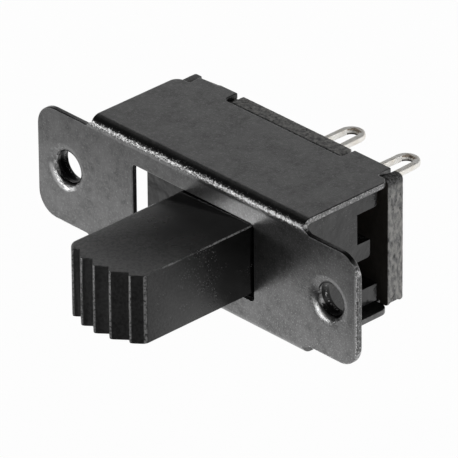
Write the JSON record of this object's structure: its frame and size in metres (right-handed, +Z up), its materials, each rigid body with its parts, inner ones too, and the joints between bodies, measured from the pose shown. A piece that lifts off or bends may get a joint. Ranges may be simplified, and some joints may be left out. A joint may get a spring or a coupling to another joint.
{
  "type": "slide switch",
  "caption": "Panel-mount slide switch: folded steel frame with threaded ears, ribbed sliding knob, and a terminal board with two eyed solder lugs.",
  "frame": {"origin": "the middle of the face plate's front face, halfway between the two mounting holes", "axes": "+X along the slide towards the closed position, +Y from the knob towards the solder lugs, +Z up"},
  "size_m": [0.0348, 0.0304, 0.0114],
  "materials": {
    "frame_steel": "blackened steel, satin, bare and bright along its cut edges and bends",
    "slider_plastic": "moulded, satin",
    "board_laminate": "paper laminate with rough fibrous cut edges",
    "terminal_metal": "silver plated, satin",
    "clip_bronze": "spring bronze, satin"
  },
  "bodies": {
    "housing": {"frame": "frame_steel", "terminal_board": "board_laminate", "terminal_centre": "terminal_metal", "terminal_right": "terminal_metal"},
    "slider": {"slider": "slider_plastic", "contact_clip": "clip_bronze"}
  },
  "joints": [
    {"name": "slide", "type": "slide", "parent": "housing", "child": "slider", "axis": [1, 0, 0], "range_m": [-0.0051, 0]}
  ]
}
